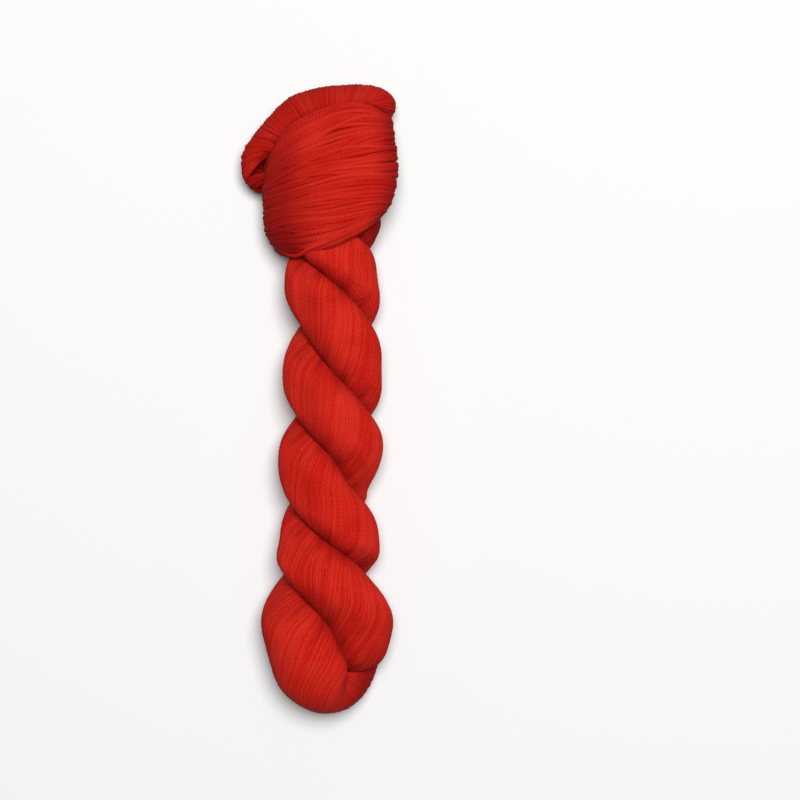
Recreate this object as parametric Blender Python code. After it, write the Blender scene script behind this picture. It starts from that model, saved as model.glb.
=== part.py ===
"""A twisted hank of yarn that lies on its side.

One long yarn is wound into a loop, the loop is twisted and folded in half, so that its halves
lay round each other as two plies, and one end loop is spread out round the other. It is one
piece, and so one solid: two plies, the fold at their foot, the band of the spread loop, and the
crown, which is the other loop fanned out above the band.

Sizes are in millimetres until a mesh is made. +Y runs along the hank towards its crown, +Z is up,
and the hank rests on the plane z = 0, where the soft yarn lies flat.
"""

import math
from collections import namedtuple

import bmesh
import bpy
from mathutils import Vector

MM = 0.001

# The rope of two plies.
AXIS_HEIGHT = 18.2  # from the surface to the middle of the rope
SAG = 0.85  # how much the yarn's own weight flattens the rope
WIDEST = 0.40  # where a ply is widest, as a share of its reach
INNER_BULGE = 0.62  # below 1, the inner side of a ply is flattened against the other
PLY_OVERLAP = 0.8  # how far each ply crosses the middle, so that the two join
PLY_SIDES = 22
PLY_STEPS = 4  # rings between two rows of ROPE

RopeRow = namedtuple("RopeRow", "along centre turns reach girth")

# A row for each crossing and each bulge, from inside the band down to the fold. turns counts
# half turns of the twist, reach goes from the rope's middle to the outside of a ply, and girth is
# half the ply's width across that.
ROPE = (
    RopeRow(along=104.0, centre=5.5, turns=-1.0, reach=13.0, girth=13.0),
    RopeRow(along=85.0, centre=8.0, turns=-0.5, reach=21.4, girth=15.0),
    RopeRow(along=71.0, centre=6.6, turns=0.0, reach=19.3, girth=17.2),
    RopeRow(along=55.5, centre=5.9, turns=0.5, reach=22.2, girth=17.8),
    RopeRow(along=35.2, centre=8.0, turns=1.0, reach=22.8, girth=16.8),
    RopeRow(along=13.0, centre=6.3, turns=1.5, reach=23.5, girth=17.8),
    RopeRow(along=-7.8, centre=7.2, turns=2.0, reach=24.0, girth=17.6),
    RopeRow(along=-26.8, centre=5.4, turns=2.5, reach=24.7, girth=18.4),
    RopeRow(along=-42.0, centre=3.5, turns=2.84, reach=22.6, girth=16.8),
    RopeRow(along=-49.0, centre=4.2, turns=3.0, reach=23.4, girth=18.2),
    RopeRow(along=-68.0, centre=5.2, turns=3.5, reach=24.0, girth=18.6),
    RopeRow(along=-83.0, centre=3.4, turns=4.0, reach=27.3, girth=19.4),
    RopeRow(along=-105.5, centre=3.9, turns=4.5, reach=31.4, girth=21.0),
    RopeRow(along=-126.2, centre=4.0, turns=4.75, reach=27.6, girth=21.4),
)

# The fold turns the front ply round the lowest point of the rope's middle and up behind, where
# its end runs on as a narrower tail inside the back ply, which closes over it.
FOLD_STEPS = 3  # rings between two rows of FOLD
FOLD_EYE = 1.6  # the small open eye that the fold turns round
TAIL_LENGTH = 9.0
TAIL_WIDTH = 0.4  # of the fold's end
BACK_PLY_SHORT = 0.4  # rows of ROPE from the foot at which the back ply starts to close
BACK_PLY_CLOSING = 10.5  # how far it reaches on from there
BACK_PLY_FULLNESS = 2.4

FoldRow = namedtuple("FoldRow", "bend reach ridge front back lean")

# A row for each part of the turn. bend is in degrees. front and back are how far the ply stands
# out to its two sides, ridge is where it is widest in front, which moves out to the foot, and
# lean is how far its outer edge leans over to the back.
FOLD = (
    FoldRow(bend=0, reach=27.6, ridge=11.04, front=21.4, back=21.4, lean=0.0),
    FoldRow(bend=30, reach=25.2, ridge=10.0, front=19.6, back=19.2, lean=0.5),
    FoldRow(bend=60, reach=23.4, ridge=13.0, front=16.8, back=15.8, lean=1.2),
    FoldRow(bend=90, reach=23.6, ridge=16.0, front=13.4, back=13.2, lean=2.6),
    FoldRow(bend=135, reach=25.8, ridge=16.0, front=12.0, back=16.5, lean=1.8),
    FoldRow(bend=180, reach=30.4, ridge=12.0, front=12.5, back=17.0, lean=0.0),
)

# The band: the end loop that is spread out round the neck.
BAND_SIDES = 40
BAND_STEPS = 2
BAND_ROUNDNESS = 0.96  # below 1, the band's front and back are flatter than an ellipse
BAND_LEAN = 8.0  # how far its highest line lies to the right of its middle
BAND_LIP = 4.0  # how far the band's two edges turn in
BAND_BACK = -1.5  # the lowest point of the band before it is pressed flat

BandRow = namedtuple("BandRow", "left left_y middle_y right right_y front bow")

# A row for each course of the band, from the crown down. bow is how late the course drops towards
# its left end: 2 is a plain curve, and more is flat first and then drops.
BAND = (
    BandRow(left=-26.6, left_y=109.5, middle_y=135.2, right=33.8, right_y=132.8, front=29.5, bow=4.5),
    BandRow(left=-26.7, left_y=106.8, middle_y=126.0, right=34.4, right_y=129.0, front=32.0, bow=3.6),
    BandRow(left=-26.7, left_y=104.4, middle_y=117.4, right=35.1, right_y=124.6, front=33.8, bow=2.8),
    BandRow(left=-26.6, left_y=100.6, middle_y=109.6, right=36.1, right_y=117.0, front=35.6, bow=2.2),
    BandRow(left=-26.3, left_y=95.8, middle_y=103.0, right=36.6, right_y=107.6, front=36.8, bow=2.0),
    BandRow(left=-26.0, left_y=90.4, middle_y=96.8, right=35.2, right_y=98.4, front=37.6, bow=2.0),
    BandRow(left=-25.7, left_y=85.0, middle_y=90.4, right=33.7, right_y=92.6, front=38.0, bow=2.0),
    BandRow(left=-24.9, left_y=80.0, middle_y=83.6, right=31.6, right_y=89.0, front=38.2, bow=2.0),
    BandRow(left=-23.2, left_y=75.8, middle_y=77.0, right=30.0, right_y=86.8, front=38.0, bow=2.0),
    BandRow(left=-20.6, left_y=72.0, middle_y=72.4, right=28.6, right_y=85.2, front=37.6, bow=2.0),
)

# The crown: the other end loop, fanned out. Its yarns run out of the band, over the rim and back.
CROWN_STEPS = 2
CROWN_LEG_STEPS = 5  # rings along the round part of each leg
CROWN_ROUND = 12.0  # how far in from the rim the crown is rounded
CROWN_MIDDLE = 11.5  # height of the rim over the surface
CROWN_ROOT = 10.0  # how far each leg runs on inside the band
CROWN_CLOSING = 2.0  # how far the fan's two ends reach past the table's first and last rows

CrownRow = namedtuple("CrownRow", "rim_x rim_y front_x front_y back_x back_y thick")

# A row for each part of the fan, from its right end round to its left end. front and back are
# where the two legs of the loop meet the neck, and thick is half the loop's height.
CROWN = (
    CrownRow(rim_x=33.6, rim_y=133.6, front_x=20.0, front_y=130.5, back_x=20.0, back_y=128.0, thick=8.5),
    CrownRow(rim_x=36.6, rim_y=139.0, front_x=19.4, front_y=133.0, back_x=19.4, back_y=130.0, thick=10.0),
    CrownRow(rim_x=34.4, rim_y=145.2, front_x=18.0, front_y=132.8, back_x=18.0, back_y=130.2, thick=11.0),
    CrownRow(rim_x=26.0, rim_y=149.3, front_x=14.6, front_y=131.9, back_x=14.6, back_y=129.2, thick=12.0),
    CrownRow(rim_x=12.8, rim_y=149.8, front_x=9.4, front_y=130.9, back_x=9.4, back_y=128.0, thick=12.5),
    CrownRow(rim_x=-1.4, rim_y=148.3, front_x=3.4, front_y=129.0, back_x=3.4, back_y=126.0, thick=12.5),
    CrownRow(rim_x=-14.4, rim_y=143.8, front_x=-2.6, front_y=126.2, back_x=-2.2, back_y=122.4, thick=11.8),
    CrownRow(rim_x=-24.4, rim_y=134.2, front_x=-9.0, front_y=122.4, back_x=-7.6, back_y=117.0, thick=10.6),
    CrownRow(rim_x=-32.0, rim_y=125.0, front_x=-13.6, front_y=118.4, back_x=-11.6, back_y=111.0, thick=9.4),
    CrownRow(rim_x=-36.4, rim_y=117.6, front_x=-16.4, front_y=115.4, back_x=-13.6, back_y=106.0, thick=8.2),
    CrownRow(rim_x=-37.1, rim_y=110.2, front_x=-18.0, front_y=113.0, back_x=-14.6, back_y=102.0, thick=7.2),
    CrownRow(rim_x=-35.8, rim_y=103.6, front_x=-19.0, front_y=111.0, back_x=-15.0, back_y=99.0, thick=6.6),
    CrownRow(rim_x=-32.0, rim_y=99.8, front_x=-19.4, front_y=108.6, back_x=-15.0, back_y=97.0, thick=6.0),
)

# The block below the surface, which presses the underside flat.
GROUND_SIZE = 400.0
GROUND_DEPTH = 40.0

YARN_COLOUR = (0.56, 0.019, 0.011, 1.0)
YARN_ROUGHNESS = 0.9
SHARP_ANGLE = 50  # degrees, between faces that meet in a crease


def clear_scene():
    for old in list(bpy.data.objects):
        bpy.data.objects.remove(old, do_unlink=True)


def smooth_row(rows, place):
    """The table's values at a place counted in rows, on a smooth curve through the rows."""
    last = len(rows) - 1
    start = min(int(place), last - 1)
    t = place - start
    before, here, after, beyond = (
        rows[max(0, min(last, start + step))] for step in (-1, 0, 1, 2)
    )
    values = []
    for p0, p1, p2, p3 in zip(before, here, after, beyond):
        bend = t * (2 * p0 - 5 * p1 + 4 * p2 - p3 + t * (3 * p1 - p0 - 3 * p2 + p3))
        values.append(p1 + 0.5 * t * (p2 - p0 + bend))
    return type(here)(*values)


def places(rows, steps, rows_short=0):
    """Evenly spaced places down a table, some steps to a row, to some rows short of its end."""
    last = len(rows) - 1 - rows_short
    count = round(last * steps)
    return [last * i / count for i in range(count + 1)]


def ply_section(reach, inner, front, back, ridge):
    """(out, across) round one ply, out from the rope's middle: full outside, flattened inside."""
    section = []
    for k in range(PLY_SIDES):
        turn = 2 * math.pi * k / PLY_SIDES
        out, across = math.cos(turn), math.sin(turn)
        widest, girth = (ridge, front) if across > 0 else (WIDEST * reach, back)
        depth = reach - widest
        if out < 0:
            depth = widest - inner
            out = -(abs(out) ** INNER_BULGE)
            across = math.copysign(abs(across) ** INNER_BULGE, across)
        section.append((widest + depth * out, girth * across))
    return section


def rope_point(row, angle, along, out, across):
    """A point of the rope at an angle round its middle, which is squashed by its own weight."""
    x = row.centre + out * math.sin(angle) + across * math.cos(angle)
    z = out * math.cos(angle) - across * math.sin(angle)
    return Vector((x, along, AXIS_HEIGHT + SAG * z))


def ply_rings(half_turns, rows_short=0):
    """Rings of one ply, from inside the band down the rope, to some rows short of the foot."""
    rings = []
    for place in places(ROPE, PLY_STEPS, rows_short):
        row = smooth_row(ROPE, place)
        angle = math.pi * (row.turns + half_turns)
        section = ply_section(row.reach, -PLY_OVERLAP, row.girth, row.girth, WIDEST * row.reach)
        rings.append([rope_point(row, angle, row.along, out, across) for out, across in section])
    return rings


def fold_rings():
    """Rings of the fold, from the front ply round the foot of the hank and up into the other."""
    foot = ROPE[-1]
    angle = math.pi * (foot.turns + 1)
    rings = []
    for place in places(FOLD, FOLD_STEPS)[1:]:
        row = smooth_row(FOLD, place)
        bend = math.radians(row.bend)
        ring = []
        for out, across in ply_section(row.reach, FOLD_EYE, row.front, row.back, row.ridge):
            across -= row.lean * max(0.0, out / row.reach) ** 2
            along = foot.along - out * math.sin(bend)
            ring.append(rope_point(foot, angle, along, out * math.cos(bend), across))
        rings.append(ring)
    fold_end = rings[-1]
    middle = ring_middle(fold_end)
    for share in (0.5, 1.0):
        width = 1 - (1 - TAIL_WIDTH) * share
        lift = Vector((0, TAIL_LENGTH * share, 0))
        rings.append([middle + (point - middle) * width + lift for point in fold_end])
    return rings


def ring_middle(ring):
    return sum(ring, Vector()) / len(ring)


def rounded_end(rings, depth, fullness=1.0, steps=2):
    """The rings with more after the last, which round the end off. A fuller end is blunter."""
    last = rings[-1]
    middle = ring_middle(last)
    heading = (middle - ring_middle(rings[-2])).normalized()
    closing = []
    for step in range(1, steps + 1):
        turn = math.pi / 2 * step / (steps + 0.4)
        width = math.cos(turn) ** (1 / fullness)
        push = heading * depth * math.sin(turn)
        closing.append([middle + (point - middle) * width + push for point in last])
    return rings + closing


def band_ring(row, inset=0.0, lift=0.0):
    """One course round the neck. An inset course lies further in, as at the band's edges."""
    middle_x = (row.left + row.right) / 2
    half_width = (row.right - row.left) / 2 - inset
    middle_z = (row.front + BAND_BACK) / 2
    half_height = (row.front - BAND_BACK) / 2 - inset
    side_y = (row.left_y + row.right_y) / 2
    slope = (row.right_y - row.left_y) / 2
    ring = []
    for k in range(BAND_SIDES):
        turn = 2 * math.pi * k / BAND_SIDES
        across, up = math.cos(turn), math.sin(turn)
        x = half_width * math.copysign(abs(across) ** BAND_ROUNDNESS, across) + BAND_LEAN * up
        z = math.copysign(abs(up) ** BAND_ROUNDNESS, up)
        share = x / half_width
        drop = (side_y - row.middle_y) * abs(share) ** (row.bow if share < 0 else 2)
        y = row.middle_y + slope * share + drop
        ring.append(Vector((middle_x + x, y + lift, middle_z + half_height * z)))
    return ring


def band_rings():
    top, bottom = BAND[0], BAND[-1]
    rings = [
        band_ring(top, inset=BAND_LIP, lift=-0.2 * BAND_LIP),
        band_ring(top, inset=0.4 * BAND_LIP, lift=0.1 * BAND_LIP),
    ]
    rings += [band_ring(smooth_row(BAND, place)) for place in places(BAND, BAND_STEPS)]
    rings += [
        band_ring(bottom, inset=0.3 * BAND_LIP, lift=-0.5 * BAND_LIP),
        band_ring(bottom, inset=BAND_LIP, lift=-0.7 * BAND_LIP),
        band_ring(bottom, inset=1.8 * BAND_LIP, lift=-0.2 * BAND_LIP),
    ]
    return rings


def crown_ring(row):
    """One hairpin of the fan: the front leg, round the rim, and the back leg."""
    rim = Vector((row.rim_x, row.rim_y, CROWN_MIDDLE))
    ring = []
    for side, foot_x, foot_y in ((1, row.front_x, row.front_y), (-1, row.back_x, row.back_y)):
        foot = Vector((foot_x, foot_y, CROWN_MIDDLE))
        reach = foot - rim
        inwards = reach.normalized()
        leg = []
        for step in range(1, CROWN_LEG_STEPS + 1):
            turn = math.pi / 2 * step / CROWN_LEG_STEPS
            point = rim + inwards * CROWN_ROUND * (1 - math.cos(turn))
            leg.append(point + Vector((0, 0, side * row.thick * math.sin(turn))))
        leg.append(foot + inwards * CROWN_ROOT + Vector((0, 0, side * row.thick)))
        ring = list(reversed(leg)) + [rim] if side > 0 else ring + leg
    return ring


def crown_rings():
    rings = [crown_ring(smooth_row(CROWN, place)) for place in places(CROWN, CROWN_STEPS)]
    for _ in range(2):
        rings = rounded_end(rings, CROWN_CLOSING)[::-1]
    return rings


def loft(name, rings):
    """A closed solid through rings that have the same number of points."""
    mesh = bmesh.new()
    loops = [[mesh.verts.new(point * MM) for point in ring] for ring in rings]
    for lower, upper in zip(loops, loops[1:]):
        for k in range(len(lower)):
            following = (k + 1) % len(lower)
            mesh.faces.new((lower[k], lower[following], upper[following], upper[k]))
    for loop in (loops[0], loops[-1]):
        middle = mesh.verts.new(ring_middle([corner.co for corner in loop]))
        for k in range(len(loop)):
            mesh.faces.new((loop[k], loop[(k + 1) % len(loop)], middle))
    bmesh.ops.recalc_face_normals(mesh, faces=mesh.faces)
    bmesh.ops.triangulate(mesh, faces=mesh.faces)
    if mesh.calc_volume(signed=True) < 0:
        bmesh.ops.reverse_faces(mesh, faces=mesh.faces)
    data = bpy.data.meshes.new(name)
    mesh.to_mesh(data)
    mesh.free()
    data.shade_smooth()
    solid = bpy.data.objects.new(name, data)
    bpy.context.scene.collection.objects.link(solid)
    return solid


def hide(helper):
    helper.hide_render = True
    helper.display_type = "WIRE"


def boolean(solid, other, operation):
    modifier = solid.modifiers.new(other.name, "BOOLEAN")
    modifier.operation = operation
    modifier.solver = "EXACT"
    modifier.object = other
    hide(other)


def ground():
    bpy.ops.mesh.primitive_cube_add(size=1.0)
    block = bpy.context.object
    block.name = "ground"
    block.scale = (GROUND_SIZE * MM, GROUND_SIZE * MM, GROUND_DEPTH * MM)
    block.location = (0, 0, -GROUND_DEPTH * MM / 2)
    return block


def yarn_material():
    material = bpy.data.materials.new("red_yarn")
    material.use_nodes = True
    shader = material.node_tree.nodes["Principled BSDF"]
    shader.inputs["Base Color"].default_value = YARN_COLOUR
    shader.inputs["Roughness"].default_value = YARN_ROUGHNESS
    shader.inputs["Metallic"].default_value = 0.0
    material.diffuse_color = YARN_COLOUR
    return material


def build_hank():
    """The front ply with its fold, joined to the back ply, the band and the crown."""
    hank = loft("hank", ply_rings(half_turns=1) + fold_rings())
    back_ply = ply_rings(half_turns=0, rows_short=BACK_PLY_SHORT)
    back_ply = rounded_end(back_ply, BACK_PLY_CLOSING, BACK_PLY_FULLNESS, steps=4)
    pieces = {"back_ply": back_ply, "band": band_rings(), "crown": crown_rings()}
    for name, rings in pieces.items():
        boolean(hank, loft(name, rings), "UNION")
    boolean(hank, ground(), "DIFFERENCE")
    hank.data.materials.append(yarn_material())
    hank.data.set_sharp_from_angle(angle=math.radians(SHARP_ANGLE))


clear_scene()
build_hank()
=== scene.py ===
"""A twisted hank of red plied yarn, laid on its side, with every strand of its outside."""

import math
from collections import namedtuple

import bmesh
import bpy
import numpy as np
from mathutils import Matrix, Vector
from mathutils.bvhtree import BVHTree


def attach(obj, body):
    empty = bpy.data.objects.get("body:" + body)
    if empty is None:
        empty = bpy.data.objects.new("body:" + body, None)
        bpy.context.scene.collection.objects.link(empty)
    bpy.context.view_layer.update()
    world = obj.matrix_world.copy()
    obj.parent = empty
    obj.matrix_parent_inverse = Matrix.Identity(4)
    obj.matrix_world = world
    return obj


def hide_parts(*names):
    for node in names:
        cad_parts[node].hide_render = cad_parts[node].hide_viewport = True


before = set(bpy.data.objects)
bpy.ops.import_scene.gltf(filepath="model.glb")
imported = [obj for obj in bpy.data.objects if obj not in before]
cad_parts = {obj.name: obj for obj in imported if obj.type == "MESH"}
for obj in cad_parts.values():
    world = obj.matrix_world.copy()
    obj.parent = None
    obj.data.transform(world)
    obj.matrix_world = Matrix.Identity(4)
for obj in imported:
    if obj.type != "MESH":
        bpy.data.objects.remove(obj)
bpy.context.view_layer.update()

MM = 0.001
TURN = 2 * math.pi

# ---------------- the hank's form, in millimetres

AXIS_HEIGHT = 18.2
SAG = 0.85  # height of the twisted part for its width
WIDEST = 0.40  # how far out along its reach a ply is widest
INNER_BULGE = 0.62  # under 1 for a full inner side
PLY_OVERLAP = 0.8  # how far each ply goes past the axis, into the other

# centre and along are x and y of the axis, turns counts half turns, reach goes out from the axis and
# girth across, and slant is how steeply the strands lie to the ply.
RopeRow = namedtuple("RopeRow", "along centre turns reach girth slant")
ROPE = np.array((  # from inside the band down to the foot
    RopeRow(104.0, 5.5, -1.0, 13.0, 13.0, 0.0),
    RopeRow(85.0, 8.0, -0.5, 21.4, 15.0, 0.0),
    RopeRow(71.0, 6.6, 0.0, 19.3, 17.2, 0.03),
    RopeRow(55.5, 5.9, 0.5, 22.2, 17.8, 0.08),
    RopeRow(35.2, 8.0, 1.0, 22.8, 16.8, 0.08),
    RopeRow(13.0, 6.3, 1.5, 23.5, 17.8, 0.08),
    RopeRow(-7.8, 7.2, 2.0, 24.0, 17.6, 0.08),
    RopeRow(-26.8, 5.4, 2.5, 24.7, 18.4, 0.08),
    RopeRow(-42.0, 3.3, 2.84, 22.4, 16.8, 0.08),
    RopeRow(-50.0, 4.3, 3.02, 22.8, 17.7, 0.08),
    RopeRow(-67.0, 5.0, 3.46, 23.7, 18.3, 0.13),
    RopeRow(-83.0, 3.4, 4.0, 26.8, 19.2, 0.2),
    RopeRow(-105.5, 3.9, 4.5, 31.4, 21.0, 0.42),
    RopeRow(-126.2, 4.0, 4.75, 27.6, 21.4, 0.58),
))

FOLD_EYE = 1.6  # how far the fold's inner side stays off its axis

# bend is in degrees, ridge is how far out the fold is widest, front and back are its halves across,
# and lean bends its outer side over.
FoldRow = namedtuple("FoldRow", "bend reach ridge front back lean slant")
FOLD = np.array((
    FoldRow(0, 27.6, 11.04, 21.4, 21.4, 0.0, 0.58),
    FoldRow(30, 25.2, 10.0, 19.6, 19.2, 0.5, 0.7),
    FoldRow(60, 23.4, 13.0, 16.8, 15.8, 1.2, 0.85),
    FoldRow(90, 23.6, 16.0, 13.4, 13.2, 2.6, 1.0),
    FoldRow(135, 25.8, 16.0, 12.0, 16.5, 1.8, 1.1),
    FoldRow(180, 30.4, 12.0, 12.5, 17.0, 0.0, 1.0),
))

BAND_ROUNDNESS = 0.96  # exponent of its section, 1 for an ellipse
BAND_LEAN = 8.0  # how far its highest line lies right of its middle
BAND_BACK = -1.5  # height of its back

# Each course has its left and right end, its middle and its front's height. bow is how sharply its
# left part turns down. inset and lift roll the upper and lower lip inwards.
BandRow = namedtuple("BandRow", "left left_y middle_y right right_y front bow inset lift")
BAND = np.array((
    BandRow(-26.6, 109.5, 135.2, 33.8, 132.8, 29.5, 4.5, 4.0, -0.8),
    BandRow(-26.6, 109.5, 135.2, 33.8, 132.8, 29.5, 4.5, 1.6, 0.4),
    BandRow(-26.6, 109.5, 135.2, 33.8, 132.8, 29.5, 4.5, 0.0, 0.0),
    BandRow(-26.7, 106.8, 126.0, 34.4, 129.0, 32.0, 3.6, 0.0, 0.0),
    BandRow(-26.7, 104.4, 117.4, 35.1, 124.6, 33.8, 2.8, 0.0, 0.0),
    BandRow(-26.6, 100.6, 109.6, 36.1, 117.0, 35.6, 2.2, 0.0, 0.0),
    BandRow(-26.3, 95.8, 103.0, 36.6, 107.6, 36.8, 2.0, 0.0, 0.0),
    BandRow(-26.0, 90.4, 96.8, 35.2, 98.4, 37.6, 2.0, 0.0, 0.0),
    BandRow(-25.7, 85.0, 90.4, 33.7, 92.6, 38.0, 2.0, 0.0, 0.0),
    BandRow(-24.9, 80.0, 83.6, 31.6, 89.0, 38.2, 2.0, 0.0, 0.0),
    BandRow(-23.2, 75.8, 77.0, 30.0, 86.8, 38.0, 2.0, 0.0, 0.0),
    BandRow(-20.6, 72.0, 72.4, 28.6, 85.2, 37.6, 2.0, 0.0, 0.0),
    BandRow(-20.6, 72.0, 72.4, 28.6, 85.2, 37.6, 2.0, 1.2, -2.0),
    BandRow(-20.6, 72.0, 72.4, 28.6, 85.2, 37.6, 2.0, 4.0, -2.8),
    BandRow(-20.6, 72.0, 72.4, 28.6, 85.2, 37.6, 2.0, 7.2, -0.8),
))

CROWN_ROUND = 12.0  # length over which a strand rounds the rim
CROWN_MIDDLE = 11.5  # height of the rim's middle
CROWN_ROOT = 10.0  # how far the strands go on inside the band
CROWN_BACK_RISE = 1.5  # of the back legs' feet
RIM_POINTS = 8  # of half the way round the rim
LEG_POINTS = 5

# Each strand goes from its front foot over the rim to its back foot. thick is half the crown's
# thickness, bow how far the front leg bends out sideways, and dip how far it goes down at its end.
CrownRow = namedtuple("CrownRow", "rim_x rim_y front_x front_y back_x back_y thick bow dip")
CROWN = np.array((
    CrownRow(33.6, 133.6, 22.5, 137.6, 20.0, 128.0, 8.5, 0.0, 1.5),
    CrownRow(36.6, 139.0, 22.0, 139.0, 19.4, 130.0, 10.0, 0.0, 1.5),
    CrownRow(34.4, 145.2, 20.5, 138.8, 18.0, 130.2, 11.0, 0.0, 1.5),
    CrownRow(26.0, 149.3, 17.0, 135.6, 14.6, 129.2, 12.0, 0.0, 1.5),
    CrownRow(12.8, 149.8, 10.4, 132.0, 9.4, 128.0, 12.5, 0.0, 1.5),
    CrownRow(-1.4, 148.3, 3.2, 129.4, 3.4, 126.0, 12.5, 0.0, 1.5),
    CrownRow(-14.4, 143.8, -3.6, 126.6, -2.2, 122.4, 11.8, 0.0, 1.5),
    CrownRow(-24.4, 134.2, -10.6, 122.8, -7.6, 117.0, 10.6, 0.0, 1.5),
    CrownRow(-32.0, 125.0, -16.0, 119.6, -11.6, 111.0, 9.4, 0.3, 1.5),
    CrownRow(-36.4, 117.6, -19.6, 118.0, -13.6, 106.0, 8.2, 0.8, 2.0),
    CrownRow(-37.1, 110.2, -20.8, 118.0, -14.6, 102.0, 7.2, 1.1, 2.0),
    CrownRow(-35.8, 103.6, -21.4, 117.6, -15.0, 99.0, 6.6, 1.2, 3.0),
    CrownRow(-32.0, 99.8, -20.4, 115.6, -15.0, 97.0, 6.0, 0.6, 5.0),
))

# ---------------- the yarn

SECTION_SAMPLES = 96
PLIES = 3  # of the yarn itself
YARN_LEAD = 6.0  # length of one turn of the yarn's own plies
PLY_VALLEY = 0.86  # the yarn's radius between its plies, and on them
PLY_RIDGE = 1.03
COLUMNS = 6  # corners round a strand
PLIED_COLUMNS = 9
CREST_PAINTED_HIGHLIGHT = 0.5  # painted highlight: how much paler than its sides the top of a strand is painted
CREST_MEAN = 0.6
WAVE_SPREAD = (0.75, 1.3)  # of each strand's wavelength


def between_rows(rows, place):
    """The table's rows at places counted in rows, on a smooth curve through the rows."""
    last = len(rows) - 1
    start = np.clip(np.floor(place).astype(int), 0, last - 1)
    t = (place - start)[..., None]
    p0, p1, p2, p3 = (rows[np.clip(start + step, 0, last)] for step in (-1, 0, 1, 2))
    bend = t * (2 * p0 - 5 * p1 + 4 * p2 - p3 + t * (3 * p1 - p0 - 3 * p2 + p3))
    return p1 + 0.5 * t * (p2 - p0 + bend)


def unit(vectors):
    return vectors / np.maximum(np.linalg.norm(vectors, axis=-1, keepdims=True), 1e-9)


def square_to(vectors, heading):
    """Unit vectors square to the heading, each as near its vector as can be."""
    return unit(vectors - heading * (vectors * heading).sum(-1, keepdims=True))


def smoothstep(value, start, end):
    t = np.clip((value - start) / (end - start), 0, 1)
    return t * t * (3 - 2 * t)


def wander(rng, strands, distance, lengths, closed=False):
    """Slow waves along strands, about -1 to 1, of the given wavelengths in mm."""
    total = np.zeros((strands, len(distance)))
    for length in lengths:
        if closed:
            waves = max(1, round(distance[-1] / length))
            rate = np.full(strands, TURN * waves / distance[-1])
        else:
            rate = TURN / (length * rng.uniform(*WAVE_SPREAD, strands))
        phase = rng.uniform(0, TURN, strands)
        total += np.sin(distance[None] * rate[:, None] + phase[:, None])
    return total / math.sqrt(len(lengths))


def drift_together(rng, strands, distance, lengths, waves_round, closed=False):
    """Slow waves like wander's, but shared by neighbouring strands, so that no gaps open."""
    total = np.zeros((strands, len(distance)))
    place = np.arange(strands) / strands
    for length, waves in zip(lengths, waves_round):
        rate = TURN / length
        if closed:
            rate = TURN * max(1, round(distance[-1] / length)) / distance[-1]
        phase = rng.uniform(0, TURN) + TURN * waves * place
        total += np.sin(distance[None] * rate * rng.choice((-1, 1)) + phase[:, None])
    return total / math.sqrt(len(lengths))


class Ply:
    """Rings along one ply: where each is, which way its section faces, and its section's size."""

    def __init__(self):
        self.parts = []

    def add(self, middle, out, across, section, lean, twist):
        self.parts.append((middle, out, across, section, lean, twist))

    def finish(self):
        (self.middle, self.out, self.across, self.section, self.lean, self.twist) = (
            np.concatenate(column) for column in zip(*self.parts)
        )
        count = len(self.middle)
        self.width = np.ones(count)
        self.hub = np.zeros((count, 3))
        self.push = np.zeros((count, 3))


STRAIGHTENING = (3.4, 4.2)  # turns between which the back ply's strands straighten


def rope_frame(centre, along, angle, bend):
    """The middle of each ring of a ply, and the directions out from the axis and across."""
    middle = np.stack((centre, along, np.full_like(centre, AXIS_HEIGHT)), -1)
    out = np.stack((np.sin(angle) * np.cos(bend), -np.sin(bend), SAG * np.cos(angle) * np.cos(bend)), -1)
    across = np.stack((np.cos(angle), np.zeros_like(angle), -SAG * np.sin(angle)), -1)
    return middle, out, across


def add_rope(ply, half_turns, rows_short=0.0, rings_per_row=10, straighten=0.0):
    """A ply of the twisted part, down to the foot."""
    last = len(ROPE) - 1 - rows_short
    rows = between_rows(ROPE, np.linspace(0, last, round(last * rings_per_row) + 1))
    along, centre, turns, reach, girth, slant = rows.T
    angle = math.pi * (turns + half_turns)
    slant = slant * (1 - straighten * smoothstep(turns, *STRAIGHTENING))
    middle, out, across = rope_frame(centre, along, angle, np.zeros_like(angle))
    section = np.stack((reach, np.full_like(reach, -PLY_OVERLAP), girth, girth, WIDEST * reach), -1)
    down = np.diff(along, prepend=along[0])
    turning = np.diff(angle, prepend=angle[0])
    slip = (slant * down - reach * turning) / section_length(section)
    ply.add(middle, out, across, section, np.zeros_like(reach), np.cumsum(slip))


def add_fold(ply, rings_per_row=6):
    """The fold at the foot, on from the ply's end."""
    last = len(FOLD) - 1
    rows = between_rows(FOLD, np.linspace(0, last, last * rings_per_row + 1)[1:])
    bend, reach, ridge, front, back, lean, slant = rows.T
    bend = np.radians(bend)
    foot = RopeRow(*ROPE[-1])
    ones = np.ones_like(bend)
    angle = math.pi * (foot.turns + 1) * ones
    middle, out, across = rope_frame(foot.centre * ones, foot.along * ones, angle, bend)
    section = np.stack((reach, FOLD_EYE * ones, front, back, ridge), -1)
    start = ply.parts[-1][-1][-1]
    slip = -slant * reach * np.diff(bend, prepend=0.0) / section_length(section)
    ply.add(middle, out, across, section, lean, start + np.cumsum(slip))


def section_lines(section, inset):
    """(out, across) round each ring's section, closed, with its outward direction."""
    reach, inner, front, back, ridge = (column[:, None] for column in section.T)
    reach, inner, front, back = reach - inset, inner + inset, front - inset, back - inset
    turn = np.linspace(0, TURN, SECTION_SAMPLES + 1)[None]
    out, across = np.cos(turn), np.sin(turn)
    upper = across > 0
    widest = np.where(upper, ridge, WIDEST * section[:, :1])
    girth = np.where(upper, front, back)
    inwards = out < 0
    depth = np.where(inwards, widest - inner, reach - widest)
    out = np.where(inwards, -np.abs(out) ** INNER_BULGE, out)
    across = np.where(inwards, np.sign(across) * np.abs(across) ** INNER_BULGE, across)
    return widest + depth * out, girth * across


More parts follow.
